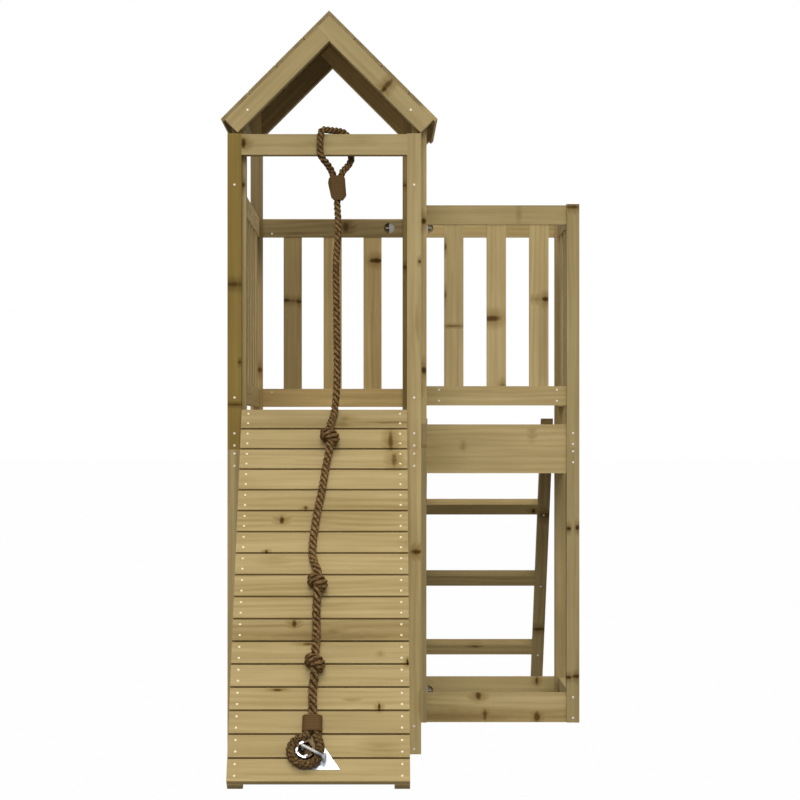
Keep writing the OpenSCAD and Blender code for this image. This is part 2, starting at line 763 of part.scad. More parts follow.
left_upright_lower();
left_upright_upper();
right_upright_lower();
right_upright_upper();
top_beam();
roof_post_front_left();
roof_post_front_right();
roof_plates();
roof_strut_left();
roof_strut_right();
rafter_front_left();
rafter_front_right();
rafter_rear_left();
rafter_rear_right();
roof_boards_left();
roof_boards_right();
rear_post_left();
rear_post_middle();
rear_post_right();
extension_post_left_lower();
extension_post_left_upper();
extension_post_right_lower();
extension_post_right_upper();
front_rim();
left_rim();
middle_rim();
right_rim();
extension_rim();
rear_rims();
deck_bearers();
tower_deck_boards();
extension_deck_boards();
rear_rails();
rear_pickets();
ladder_bar();
left_rails();
left_pickets();
middle_rails();
middle_pickets();
extension_rails();
extension_pickets();
right_rails();
right_pickets();
base_boards();
ladder_stiles();
ladder_rungs();
ramp_stiles();
ramp_planks();
frame_screws();
ramp_screws();
rear_bolts();
rope_loop();
upper_sleeve();
rope_run();
rope_knots();
lower_sleeve();
rope_eye();
thimble();
hanger_hook();
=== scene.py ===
import math
import bpy
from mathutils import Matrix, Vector


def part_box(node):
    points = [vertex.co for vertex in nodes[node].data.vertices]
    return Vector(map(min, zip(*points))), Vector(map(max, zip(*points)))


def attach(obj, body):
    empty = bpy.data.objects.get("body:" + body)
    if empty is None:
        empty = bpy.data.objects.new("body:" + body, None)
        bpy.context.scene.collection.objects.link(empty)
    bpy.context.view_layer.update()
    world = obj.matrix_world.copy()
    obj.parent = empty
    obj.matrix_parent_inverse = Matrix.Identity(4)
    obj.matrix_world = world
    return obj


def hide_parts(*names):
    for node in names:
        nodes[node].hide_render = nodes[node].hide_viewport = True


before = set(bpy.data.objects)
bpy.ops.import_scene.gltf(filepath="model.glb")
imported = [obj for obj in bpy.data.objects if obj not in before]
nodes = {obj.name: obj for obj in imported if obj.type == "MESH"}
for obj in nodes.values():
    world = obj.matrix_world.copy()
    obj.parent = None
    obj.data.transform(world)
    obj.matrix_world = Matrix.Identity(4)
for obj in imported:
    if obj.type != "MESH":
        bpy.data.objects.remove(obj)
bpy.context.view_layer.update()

# Corner of the tower, from which the camera and the rope are laid out in metres
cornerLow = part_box("left_upright_lower")[0]
corner = Vector((cornerLow.x, cornerLow.y, 0.0))

cameraSettings = {"x": 0.408, "y": -5.9, "z": 0.879, "lens": 97.97, "shiftX": 0.0275, "shiftY": 0.0375}


def makeCamera(settings):
    data = bpy.data.cameras.new("camera")
    data.lens = settings["lens"]
    data.sensor_width = 36.0
    data.shift_x = settings["shiftX"]
    data.shift_y = settings["shiftY"]
    camera = bpy.data.objects.new("camera", data)
    camera.location = corner + Vector((settings["x"], settings["y"], settings["z"]))
    camera.rotation_euler = (math.radians(90), 0.0, 0.0)
    bpy.context.scene.collection.objects.link(camera)
    bpy.context.scene.camera = camera


makeCamera(cameraSettings)
print("camera made")

# Routes of the rope, in metres from the tower's corner
ropeSettings = {
    "slackD": 0.024,
    "tautD": 0.020,
    "tautLay": 0.042,
    "slackLay": 0.058,
    "eyeLay": 0.036,
    "rampZ": 0.934,
    "rampAngle": math.radians(56.5),
    "lieH": 0.0123,
    "knotH": 0.0283,
    "eyeH": 0.0156,
    "loopStep": 0.005,
    "runStep": 0.006,
    "eyeStep": 0.004,
    "strandSides": 10,
}
loopPoints = [
    (285, 19, 1570), (285, 19, 1575), (280, 15, 1586), (269, 2, 1602), (258, -8, 1614), (252, -11, 1627),
    (251, -11, 1652), (252, -11, 1674), (255, -8.5, 1687.5), (262, -3, 1692.5), (276, 8, 1692.5), (298, 26, 1692.5),
    (312, 38, 1691.5), (320, 45.5, 1686.5), (326, 49, 1675), (331, 49, 1652), (335, 49, 1630), (333, 47, 1612),
    (324, 38, 1597), (314, 25, 1585), (309, 19, 1575), (309, 19, 1570),
]
hangPoints = [
    (297, 19, 1503), (297, 19, 1491.5), (299, 18, 1460), (300, 16, 1422), (296, 12, 1360), (294, 9, 1313),
    (295, 4, 1230), (296, -1, 1150), (297, -6, 1080), (297, -10, 1015), (294, -15, 960),
]
liePoints = [
    (288, 28, 0.013), (279, 70, "knotH"), (279, 105, "knotH"), (279, 140, "knotH"), (270, 186, "lieH"),
    (260, 264, "lieH"), (250, 323, "lieH"), (243, 375, "lieH"), (238, 437, "lieH"), (241, 478, "lieH"),
    (253, 520, "knotH"), (253, 552, "knotH"), (253, 584, "knotH"), (251, 626, "lieH"), (252, 704, "lieH"),
    (250, 750, "knotH"), (250, 782, "knotH"), (250, 814, "knotH"), (245, 854, "lieH"), (246, 902, "eyeH"),
    (246, 925, "eyeH"),
]
eyePoints = [
    (233, 967), (233, 973), (227, 982), (211, 987), (200, 997), (194, 1012), (197, 1032), (209, 1047),
    (230, 1054), (251, 1047), (263, 1032), (266, 1012), (264, 996), (260, 983), (258, 973), (258, 967),
]
knotStations = [(279, 105), (253, 552), (250, 782)]


def rampPoint(x, s, h):
    angle = ropeSettings["rampAngle"]
    down = s / 1000.0
    return corner + Vector((
        x / 1000.0,
        -down * math.cos(angle) - h * math.sin(angle),
        ropeSettings["rampZ"] - down * math.sin(angle) + h * math.cos(angle),
    ))


def cornerPoint(p):
    return corner + Vector(p) / 1000.0


def smoothRoute(points, step):
    route = []
    last = len(points) - 1
    for i in range(last):
        p0 = points[max(i - 1, 0)]
        p1 = points[i]
        p2 = points[i + 1]
        p3 = points[min(i + 2, last)]
        count = max(2, round((p2 - p1).length / step))
        for k in range(count):
            t = k / count
            a = p1 * 2.0
            b = (p2 - p0) * t
            c = (p0 * 2.0 - p1 * 5.0 + p2 * 4.0 - p3) * (t * t)
            d = (p1 * 3.0 - p0 - p2 * 3.0 + p3) * (t * t * t)
            route.append((a + b + c + d) * 0.5)
    route.append(points[last].copy())
    return route


def routeLength(route):
    return sum((b - a).length for a, b in zip(route, route[1:]))


def makeMesh(name, verts, faces, crowns=None):
    mesh = bpy.data.meshes.new(name)
    mesh.from_pydata([tuple(v) for v in verts], [], faces)
    mesh.update()
    if crowns:
        mesh.attributes.new("crown", "FLOAT", "POINT").data.foreach_set("value", crowns)
    for polygon in mesh.polygons:
        polygon.use_smooth = True
    piece = bpy.data.objects.new(name, mesh)
    bpy.context.scene.collection.objects.link(piece)
    return piece


def addTube(verts, faces, centers, frames, radii, sides):
    start = len(verts)
    count = len(centers)
    for center, (side, up), radius in zip(centers, frames, radii):
        for k in range(sides):
            a = 2.0 * math.pi * k / sides
            verts.append(center + side * (radius * math.cos(a)) + up * (radius * math.sin(a)))
    for i in range(count - 1):
        for k in range(sides):
            a = start + i * sides + k
            b = start + i * sides + (k + 1) % sides
            faces.append((a, b, b + sides, a + sides))
    faces.append([start + k for k in range(sides - 1, -1, -1)])
    faces.append([start + (count - 1) * sides + k for k in range(sides)])


def routeFrames(route):
    frames = []
    side = None
    for i in range(len(route)):
        along = (route[min(i + 1, len(route) - 1)] - route[max(i - 1, 0)]).normalized()
        if side is None:
            side = along.orthogonal().normalized()
        side = (side - along * side.dot(along)).normalized()
        frames.append((side, along.cross(side)))
    return frames


def makeRope(name, route, firstD, lastD, firstLay, lastLay):
    verts = []
    faces = []
    strandShare = 0.5 / (1.0 + 2.0 / math.sqrt(3.0))
    frames = routeFrames(route)
    travelled = [0.0]
    for a, b in zip(route, route[1:]):
        travelled.append(travelled[-1] + (b - a).length)
    shares = [gone / travelled[-1] for gone in travelled]
    diameters = [firstD + (lastD - firstD) * share for share in shares]
    turns = [0.0]
    for share, a, b in zip(shares, route, route[1:]):
        turns.append(turns[-1] + (b - a).length / (firstLay + (lastLay - firstLay) * share))
    radii = [d * strandShare for d in diameters]
    sides = ropeSettings["strandSides"]
    crowns = []
    for strand in range(3):
        centers = []
        for point, (side, up), turned, d in zip(route, frames, turns, diameters):
            helixR = d * (0.5 - strandShare)
            turn = -2.0 * math.pi * (turned + strand / 3.0)
            centers.append(point + side * (helixR * math.cos(turn)) + up * (helixR * math.sin(turn)))
        addTube(verts, faces, centers, routeFrames(centers), radii, sides)
        for point, center, radius in zip(route, centers, radii):
            out = (center - point).normalized()
            for vert in verts[len(crowns):len(crowns) + sides]:
                crowns.append((vert - center).dot(out) / radius)
    return makeMesh(name, verts, faces, crowns)


def heightOf(h):
    return ropeSettings[h] if isinstance(h, str) else h


tautD = ropeSettings["tautD"]
slackD = ropeSettings["slackD"]
tautLay = ropeSettings["tautLay"]
slackLay = ropeSettings["slackLay"]
eyeLay = ropeSettings["eyeLay"]
loopRoute = smoothRoute([cornerPoint(p) for p in loopPoints], ropeSettings["loopStep"])
runRoute = smoothRoute(
    [cornerPoint(p) for p in hangPoints] + [rampPoint(x, s, heightOf(h)) for x, s, h in liePoints],
    ropeSettings["runStep"])
eyeRoute = smoothRoute([rampPoint(x, s, ropeSettings["eyeH"]) for x, s in eyePoints], ropeSettings["eyeStep"])
ropeLoop = makeRope("ropeLoop", loopRoute, tautD, tautD, tautLay, tautLay)
ropeRun = makeRope("ropeRun", runRoute, tautD, slackD, tautLay, slackLay)
ropeEye = makeRope("ropeEye", eyeRoute, slackD, slackD, eyeLay, eyeLay)

# Each knot: a coil of rope round the run, slanted like an overhand knot
knotSettings = {
    "turns": 2.2, "coilD": 0.022, "coilR": 0.017, "endShare": 0.72, "length": 0.026, "slant": 0.3, "lay": 0.04,
    "steps": 64,
}


def makeKnot(name, x, s, settings):
    center = rampPoint(x, s, ropeSettings["knotH"])
    along = (rampPoint(x, s + 10, 0.0) - rampPoint(x, s, 0.0)).normalized()
    side = Vector((1.0, 0.0, 0.0))
    up = side.cross(along)
    swell = 1.0 - settings["endShare"]
    route = []
    for i in range(settings["steps"] + 1):
        share = i / settings["steps"]
        turn = 2.0 * math.pi * settings["turns"] * share
        place = (share - 0.5) * settings["length"] + settings["slant"] * settings["coilR"] * math.cos(turn)
        reach = settings["coilR"] * (settings["endShare"] + swell * math.sin(math.pi * share))
        route.append(center + along * place + side * (reach * math.cos(turn)) + up * (reach * math.sin(turn)))
    return makeRope(name, route, settings["coilD"], settings["coilD"], settings["lay"], settings["lay"])


knots = [makeKnot("ropeKnot" + str(i + 1), x, s, knotSettings) for i, (x, s) in enumerate(knotStations)]
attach(ropeLoop, "frame")
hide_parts("rope_loop")
for piece, node in [(ropeRun, "rope_run"), (ropeEye, "rope_eye")] + [(knot, "rope_knots") for knot in knots]:
    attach(piece, "rope")
    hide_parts(node)
routeLength(runRoute)
print("rope made, metres:", round(routeLength(runRoute), 3))


class Value:
    def __init__(self, tree, socket):
        self.tree = tree
        self.socket = socket

    def node(self, kind, inputs, output=0, **settings):
        made = self.tree.nodes.new(kind)
        for key, setting in settings.items():
            setattr(made, key, setting)
        for key, given in inputs.items():
            if isinstance(given, Value):
                self.tree.links.new(given.socket, made.inputs[key])
            else:
                made.inputs[key].default_value = given
        return Value(self.tree, made.outputs[output])

    def maths(self, operation, first, second=0.0):
        return self.node("ShaderNodeMath", {0: first, 1: second}, operation=operation)

    def __add__(self, other):
        return self.maths("ADD", self, other)

    def __radd__(self, other):
        return self.maths("ADD", other, self)

    def __sub__(self, other):
        return self.maths("SUBTRACT", self, other)

    def __rsub__(self, other):
        return self.maths("SUBTRACT", other, self)

    def __mul__(self, other):
        return self.maths("MULTIPLY", self, other)

    def __rmul__(self, other):
        return self.maths("MULTIPLY", other, self)

    def __truediv__(self, other):
        return self.maths("DIVIDE", self, other)

    def dot(self, axis):
        return self.node("ShaderNodeVectorMath", {0: self, 1: axis}, "Value", operation="DOT_PRODUCT")

    def length(self):
        return self.node("ShaderNodeVectorMath", {0: self}, "Value", operation="LENGTH")

    def ramp(self, low, high):
        return self.node("ShaderNodeMapRange", {
            "Value": self, "From Min": low, "From Max": high, "To Min": 0.0, "To Max": 1.0})

    def vector(self, x, y, z):
        return self.node("ShaderNodeCombineXYZ", {0: x, 1: y, 2: z})

    def noise(self, place, scale, detail):
        return self.node("ShaderNodeTexNoise", {"Vector": place, "Scale": scale, "Detail": detail}, 0)

    def mix(self, factor, first, second, blend="MIX"):
        made = self.tree.nodes.new("ShaderNodeMix")
        made.data_type = "RGBA"
        made.blend_type = blend
        for key, given in ((0, factor), (6, first), (7, second)):
            if isinstance(given, Value):
                self.tree.links.new(given.socket, made.inputs[key])
            else:
                made.inputs[key].default_value = given
        return Value(self.tree, made.outputs[2])


def linear(red, green, blue):
    def one(level):
        share = level / 255.0
        return share / 12.92 if share <= 0.04045 else ((share + 0.055) / 1.055) ** 2.4
    return (one(red), one(green), one(blue), 1.0)


def startMaterial(name):
    material = bpy.data.materials.new(name)
    material.use_nodes = True
    tree = material.node_tree
    shader = next(n for n in tree.nodes if n.type == "BSDF_PRINCIPLED")
    place = Value(tree, tree.nodes.new("ShaderNodeTexCoord").outputs["Object"])
    return material, tree, shader, place


def feed(tree, shader, name, value):
    if isinstance(value, Value):
        tree.links.new(value.socket, shader.inputs[name])
    else:
        shader.inputs[name].default_value = value


# Grain noises: rate per metre along the grain and across it, detail
grainRates = {
    "wobble": (40.0, 120.0, 2.0),
    "bend": (1.3, 7.0, 2.0),
    "wide": (0.7, 16.0, 1.0),
    "fibre": (9.0, 380.0, 3.0),
    "streak": (1.6, 60.0, 4.0),
    "blotch": (4.0, 14.0, 3.0),
}
# Band of each noise and its share in the dark of the wood
toneShares = {"fibre": (0.3, 0.7, 0.14), "streak": (0.32, 0.7, 0.36), "blotch": (0.3, 0.75, 0.3)}
ringShape = {
    "rate": 520.0, "acrossStack": 0.7, "acrossThird": 1.2, "bend": 0.05, "halo": 0.014, "seen": (0.35, 0.7),
    "share": 0.3,
}
# Knots that grow by chance
knotShape = {
    "along": 5.0, "across": 12.0, "scatter": 0.9, "chance": 0.04, "edge": 0.01, "wobble": 0.12,
    "core": (0.06, 0.2), "halo": (0.08, 0.42),
}
# Knots and stains put in their places
markShape = {
    "core": {"along": 0.75, "across": 0.7, "wobble": 0.6, "edge": (0.5, 1.1)},
    "stain": {"along": 0.2, "across": 0.45, "wobble": 0.4, "edge": (0.1, 1.1)},
    "coreGain": 1.8, "coreLoss": 0.6, "stainGain": 1.5, "inRate": 8.0,
}
# Every board of a group is cut from another place in the tree
boardDraw = {"step": 3.7, "shifts": (9.0, 5.0, 7.0)}
woodFinish = {
    "halo": 0.75, "rough": 0.62, "roughSpan": 0.22, "specular": 0.12, "fibreBump": 0.5, "ringBump": 0.25,
    "knotBump": 0.3, "bump": 0.22, "bumpDepth": 0.0015, "shadeEdge": (0.8, 1.2),
}


def grainNoise(place, spot, kind):
    along, across, detail = grainRates[kind]
    a, b, c = spot
    return place.noise(place.vector(a * along, b * across, c * across), 1.0, detail)


def grownKnots(place, spot, wobble):
    a, b, c = spot
    cell = place.vector(a * knotShape["along"], b * knotShape["across"], c * knotShape["across"])
    cells = {"Vector": cell, "Scale": 1.0, "Randomness": knotShape["scatter"]}
    nearest = place.node("ShaderNodeTexVoronoi", cells, "Distance")
    pick = place.node("ShaderNodeTexVoronoi", cells, "Color")
    rare = 1.0 - knotShape["chance"]
    chosen = place.node("ShaderNodeSeparateColor", {"Color": pick}, 0).ramp(rare, rare + knotShape["edge"])
    knot = (1.0 - (nearest + wobble * knotShape["wobble"]).ramp(*knotShape["core"])) * chosen
    halo = (1.0 - nearest.ramp(*knotShape["halo"])) * chosen
    return knot, halo


def markReach(place, reach, wobble, shape):
    reachAlong, reachAcross, reachIn = reach
    away = place.vector(reachAlong * shape["along"], reachAcross * shape["across"], reachIn).length()
    return 1.0 - (away + wobble * shape["wobble"]).ramp(*shape["edge"])


def addMarks(place, axes, places, wobble, marks, knot, halo):
    for x, y, z, halfAlong, halfAcross, depth in marks:
        spot = cornerPoint((x, y, z))
        rates = (1000.0 / halfAlong, 1000.0 / halfAcross, markShape["inRate"])
        reach = [(at - spot.dot(axis)) * rate for at, axis, rate in zip(places, axes, rates)]
        core = markReach(place, reach, wobble, markShape["core"])
        stain = markReach(place, reach, wobble, markShape["stain"])
        darkest = min(1.0, max(0.0, depth * markShape["coreGain"] - markShape["coreLoss"]))
        knot = place.maths("MAXIMUM", knot, core * darkest)
        halo = place.maths("MAXIMUM", halo, stain * min(1.0, depth * markShape["stainGain"]))
    return knot, halo


def woodLevel(place, axes, places, board, chance, settings):
    level = settings["gain"] - settings["spread"] + chance * (2.0 * settings["spread"])
    for number, gain in settings["levels"]:
        other = place.maths("ABSOLUTE", board - number)
        level = level + (1.0 - place.maths("MINIMUM", other, 1.0)) * (gain - 1.0)
    # Painted light and shade: each listed stretch of the timber is lightened or darkened by its gain
    for x, y, z, halfAlong, halfAcross, gain in settings["paintedLightShade"]:
        spot = cornerPoint((x, y, z))
        reach = [
            place.maths("ABSOLUTE", (at - spot.dot(axis)) * (1000.0 / size))
            for at, axis, size in zip(places, axes, (halfAlong, halfAcross))
        ]
        inside = 1.0 - place.maths("MAXIMUM", reach[0], reach[1]).ramp(*woodFinish["shadeEdge"])
        level = level * (inside * (gain - 1.0) + 1.0)
    return level


def woodMaterial(name, settings):
    material, tree, shader, place = startMaterial(name)
    along = Vector(settings["along"]).normalized()
    stack = Vector(settings["stack"]).normalized()
    axes = (along, stack, along.cross(stack))
    places = [place.dot(tuple(axis)) for axis in axes]
    board = place.maths("FLOOR", (places[1] - settings["start"]) / settings["pitch"])
    index = board * boardDraw["step"] + settings["seed"]
    drawn = place.node("ShaderNodeTexWhiteNoise", {"W": index}, "Color", noise_dimensions="1D")
    chances = [place.node("ShaderNodeSeparateColor", {"Color": drawn}, k) for k in range(3)]
    spot = [at + chance * shift for at, chance, shift in zip(places, chances, boardDraw["shifts"])]
    wobble = grainNoise(place, spot, "wobble") - 0.5
    knot, halo = grownKnots(place, spot, wobble)
    knot, halo = addMarks(place, axes, places, wobble, settings["marks"], knot, halo)
    # Knots bend the rings round them
    bend = grainNoise(place, spot, "bend") * ringShape["bend"] + halo * ringShape["halo"]
    across = spot[1] * ringShape["acrossStack"] + spot[2] * ringShape["acrossThird"]
    rings = place.maths("SINE", (across + bend) * ringShape["rate"]) * 0.5 + 0.5
    rings = rings * grainNoise(place, spot, "wide").ramp(*ringShape["seen"])
    tone = rings * ringShape["share"]
    noises = {kind: grainNoise(place, spot, kind) for kind in toneShares}
    for kind, (low, high, share) in toneShares.items():
        tone = tone + noises[kind].ramp(low, high) * share
    colour = place.mix(tone, settings["light"], settings["dark"])
    colour = place.mix(halo * woodFinish["halo"], colour, settings["stain"])
    colour = place.mix(knot, colour, settings["knotColour"])
    level = woodLevel(place, axes, places, board, chances[1], settings)
    grey = place.node("ShaderNodeCombineColor", {0: level, 1: level, 2: level})
    feed(tree, shader, "Base Color", place.mix(1.0, colour, grey, "MULTIPLY"))
    fibre = noises["fibre"]
    feed(tree, shader, "Roughness", woodFinish["rough"] + fibre * woodFinish["roughSpan"])
    feed(tree, shader, "Specular IOR Level", woodFinish["specular"])
    height = fibre * woodFinish["fibreBump"] + rings * woodFinish["ringBump"] + knot * woodFinish["knotBump"]
    bump = place.node("ShaderNodeBump", {
        "Height": height, "Strength": woodFinish["bump"], "Distance": woodFinish["bumpDepth"]})
    feed(tree, shader, "Normal", bump)
    return material


woodTones = {
    "plain": {"light": linear(184, 164, 117), "dark": linear(140, 120, 76), "stain": linear(110, 84, 32)},
    "brown": {"light": linear(150, 126, 66), "dark": linear(104, 82, 34), "stain": linear(80, 58, 14)},
    "pale": {"light": linear(187, 166, 118), "dark": linear(143, 121, 74), "stain": linear(124, 96, 40)},
    # The next tone is a darker, greyer wood, given to the roof timbers, the rear posts and rims, the deck bearers and
    # the ladder stiles
    "muted": {"light": linear(160, 140, 97), "dark": linear(110, 92, 56), "stain": linear(96, 74, 32)},
    "rear": {"light": linear(196, 172, 120), "dark": linear(140, 119, 74), "stain": linear(110, 84, 32)},
    # Painted shade: the dark tone is a darker copy of the wood for the middle rear post, which stands in shade
    "dark": {"light": linear(120, 101, 62), "dark": linear(84, 67, 36), "stain": linear(70, 52, 20)},
}
upZ = (0.0, 0.0, 1.0)
alongX = (1.0, 0.0, 0.0)
alongY = (0.0, 1.0, 0.0)
half = math.sqrt(0.5)
rightSlope = (half, 0.0, -half)
leftSlope = (-half, 0.0, -half)
rampUp = (0.0, math.cos(ropeSettings["rampAngle"]), math.sin(ropeSettings["rampAngle"]))
ladderAngle = math.radians(62)
ladderUp = (0.0, -math.cos(ladderAngle), math.sin(ladderAngle))
# Every timber: tone, grain direction, direction across the boards, pitch of the boards in a group
timbers = {
    "left_upright_lower": ("plain", upZ, alongX, 9.0),
    "left_upright_upper": ("brown", upZ, alongX, 9.0),
    "right_upright_lower": ("plain", upZ, alongX, 9.0),
    "right_upright_upper": ("plain", upZ, alongX, 9.0),
    "top_beam": ("plain", alongX, upZ, 9.0),
    "roof_post_front_left": ("plain", upZ, alongX, 9.0),
    "roof_post_front_right": ("plain", upZ, alongX, 9.0),
    "roof_plates": ("muted", alongY, upZ, 9.0),
    "roof_strut_left": ("pale", upZ, alongX, 9.0),
    "roof_strut_right": ("pale", upZ, alongX, 9.0),
    "rafter_front_left": ("plain", leftSlope, rightSlope, 9.0),
    "rafter_front_right": ("plain", rightSlope, leftSlope, 9.0),
    "rafter_rear_left": ("muted", leftSlope, rightSlope, 9.0),
    "rafter_rear_right": ("muted", rightSlope, leftSlope, 9.0),
    "roof_boards_left": ("muted", alongY, leftSlope, 0.1045),
    "roof_boards_right": ("muted", alongY, rightSlope, 0.1045),
    "rear_post_left": ("muted", upZ, alongX, 9.0),
    # Painted shade: this post takes the dark tone
    "rear_post_middle": ("dark", upZ, alongX, 9.0),
    "rear_post_right": ("muted", upZ, alongX, 9.0),
    "extension_post_left_lower": ("plain", upZ, alongX, 9.0),
    "extension_post_left_upper": ("plain", upZ, alongX, 9.0),
    "extension_post_right_lower": ("plain", upZ, alongX, 9.0),
    "extension_post_right_upper": ("plain", upZ, alongX, 9.0),
    "front_rim": ("plain", alongX, upZ, 9.0),
    "left_rim": ("plain", alongY, upZ, 9.0),
    "middle_rim": ("plain", alongY, upZ, 9.0),
    "right_rim": ("plain", alongY, upZ, 9.0),
    "extension_rim": ("plain", alongX, upZ, 9.0),
    "rear_rims": ("muted", alongX, upZ, 9.0),
    "deck_bearers": ("muted", alongY, upZ, 9.0),
    "tower_deck_boards": ("pale", alongX, alongY, 0.0941),
    "extension_deck_boards": ("pale", alongX, alongY, 0.0988),
    "rear_rails": ("rear", alongX, upZ, 0.3),
    "rear_pickets": ("rear", upZ, alongX, 0.128),
    "ladder_bar": ("rear", alongX, upZ, 9.0),
    "left_rails": ("plain", alongY, upZ, 0.3),
    "left_pickets": ("plain", upZ, alongY, 0.128),
    "middle_rails": ("plain", alongY, upZ, 0.3),
    "middle_pickets": ("plain", upZ, alongY, 0.128),
    "extension_rails": ("plain", alongX, upZ, 0.3),
    "extension_pickets": ("plain", upZ, alongX, 0.128),
    "right_rails": ("plain", alongY, upZ, 0.3),
    "right_pickets": ("plain", upZ, alongY, 0.128),
    "base_boards": ("plain", alongX, upZ, 9.0),
    "ladder_stiles": ("muted", ladderUp, alongX, 0.2),
    "ladder_rungs": ("rear", alongX, ladderUp, 0.2),
    "ramp_stiles": ("plain", rampUp, alongX, 0.2),
    "ramp_planks": ("pale", alongX, rampUp, 0.0645),
}


# Knots and stains on the faces in view: place in mm from the tower's corner, half sizes along and across the
# grain, depth
woodMarks = {
    "left_upright_upper": [
        (14, 0, 1274, 4.9, 16.3, 0.75), (33, 0, 1274, 5.4, 7, 0.6), (33, 0, 1063, 3.3, 3.5, 0.8),
        # The last mark here is a thin dark line across the upright
        (18, 0, 948, 2.2, 21.7, 0.7),
    ],
    "top_beam": [
        (43, 0, 1656, 6, 11, 1.0), (197, 0, 1646, 10.8, 5.4, 0.18), (365, 0, 1662, 12, 8, 0.2),
        (235, 0, 1655, 14, 7, 0.18),
    ],
    "roof_post_front_left": [
        (41, 38, 1547, 6, 4.1, 0.8),
    ],
    "rear_post_left": [
        (30, 1067, 1071, 7, 6.4, 0.8), (11, 1067, 1385, 16, 3.8, 0.5),
    ],
    "right_upright_upper": [
        (521, 0, 1336, 3.8, 3.8, 0.75), (518, 0, 1172, 10.8, 6.8, 0.3),
    ],
    "right_upright_lower": [
        (512, 0, 549, 5.4, 11.4, 0.85),
    ],
    "roof_post_front_right": [
        (533, 38, 1449, 7.1, 6.3, 0.9), (533, 38, 1042, 8.2, 6.3, 0.9),
    ],
    "extension_post_left_upper": [
        (547, 640, 821, 3.6, 7.2, 0.9),
    ],
    "rear_post_middle": [
        (494, 1067, 1662, 4.2, 5.8, 0.8), (494, 1067, 1399, 5.1, 6.4, 0.9),
    ],
    "rear_rails": [
        (305, 1086, 1529, 7.7, 13.5, 0.7), (155, 1086, 1510, 19.3, 2.6, 0.4),
    ],
    "rear_pickets": [
        (134, 1086, 1293, 4, 26, 0.52),
        (113, 1086, 1295, 4.2, 11.6, 0.78), (155, 1086, 1291, 4.8, 8.3, 0.78),
        (402, 1086, 1422, 6.4, 17.3, 0.9),
    ],
    "extension_pickets": [
        (751, 650, 1215, 7.2, 21, 0.82), (912, 650, 1273, 6, 9, 0.9), (889, 650, 1273, 4, 20, 0.4),
        (634, 650, 1192, 2, 27, 0.6), (784, 650, 1014, 5, 9, 0.5),
        (611, 650, 1431, 7.8, 3, 0.7), (610, 650, 1285, 7.8, 3, 0.6),
    ],
    "extension_rails": [
        (832, 650, 1529, 2.4, 15, 0.35),
    ],
    "extension_post_right_upper": [
        (995, 640, 1549, 4.8, 15.6, 0.75),
    ],
    "extension_post_right_lower": [
        (981, 640, 583, 5.1, 5.7, 0.9), (1008, 640, 586, 5.7, 6, 0.9), (980, 640, 136, 3.9, 7.8, 0.85),
        (1003, 640, 139, 4.5, 9.6, 0.85),
    ],
    "base_boards": [
        (661, 650, 18, 111, 13, 0.45),
        (710, 650, 79, 6.6, 10.2, 0.8), (730, 650, 22, 5.4, 13.2, 0.75),
        (886, 650, 16, 7.8, 13.2, 0.8), (917, 1086, 75, 3.9, 10.3, 0.8),
    ],
    "extension_rim": [
        (664, 650, 831, 2.7, 9, 0.4), (871, 650, 867, 3.6, 15, 0.3),
    ],
    "ladder_stiles": [
        (952, 1458, 206, 5.4, 21.6, 0.85), (958, 1249, 599, 7.2, 16.4, 0.7),
    ],
    "ladder_rungs": [
        (918, 1241, 613, 5.2, 6.6, 0.8), (922, 1481, 164, 8.8, 5.1, 0.7),
        (737, 1491, 144, 8.8, 3.1, 0.6),
    ],
    "rafter_front_right": [
        (432, 0, 1813, 5.4, 22, 0.75), (424, 0, 1802, 5, 7, 0.95),
    ],
    "ramp_planks": [
        (198, -26, 895, 135, 8, 0.3), (286, -382, 357, 120, 10, 0.45),
        (318, -17, 909, 9, 8, 0.42), (312, -27, 894, 14, 8, 0.45), (440, -24, 900, 40, 3, 0.5),
        (442, -56, 849, 5.4, 24.7, 0.74), (451, -89, 799, 5.9, 18, 0.65),
        (218, -172, 674, 3.9, 4.8, 0.8), (156, -193, 643, 5.5, 9.3, 0.95),
        (118, -245, 564, 3.4, 3.9, 0.8), (361, -193, 643, 23.6, 18.1, 0.15),
        (195, -362, 387, 4.8, 8.8, 0.85), (294, -378, 363, 15.2, 11.7, 0.45),
        (230, -394, 338, 10.1, 3.5, 0.7), (157, -466, 230, 9, 3.2, 0.8), (411, -492, 191, 3, 8.3, 0.9),
        (343, -481, 207, 5.5, 4.6, 0.3), (414, -410, 315, 3, 5.2, 0.4),
        (410, -550, 103, 11.3, 14.7, 0.25), (482, -423, 295, 2.5, 8.7, 0.9),
        (139, -259, 542, 10.4, 8.9, 0.25),
    ],
}


# Boards lighter or darker than the rest of their group, counted from the group's low end. The rear rails' levels
# are painted light and shade: the low rail lightened as if lit, the top rail darkened as if in the roof's shadow
boardLevels = {
    "ramp_planks": [(16, 0.8), (15, 0.93), (6, 0.86)],
    "rear_rails": [(0, 1.35), (1, 0.68)],
    "rear_pickets": [(0, 0.8), (1, 1.08), (2, 1.16)],
    "ladder_rungs": [(1, 0.8)],
    "extension_rails": [(0, 1.14)],
}
# Timbers lighter or darker than their tone. Many of these gains are painted light, brightening timbers that stand
# in shade: the roof struts, the rear rafters and the rear posts
timberGains = {
    "left_rails": 1.55, "left_pickets": 1.3, "right_rails": 1.1, "right_pickets": 1.15,
    "right_upright_lower": 1.12, "right_upright_upper": 1.08,
    "rear_post_left": 1.75, "rear_post_middle": 1.45, "rear_post_right": 1.42,
    "extension_post_right_lower": 0.87, "extension_post_right_upper": 0.9,
    "extension_pickets": 1.14, "extension_rim": 1.15, "base_boards": 1.15, "ladder_stiles": 1.15,
    "roof_strut_left": 1.5, "roof_strut_right": 1.6, "rafter_rear_left": 1.35, "rafter_rear_right": 2.5,
    "roof_post_front_right": 1.12, "ramp_planks": 1.03,
}
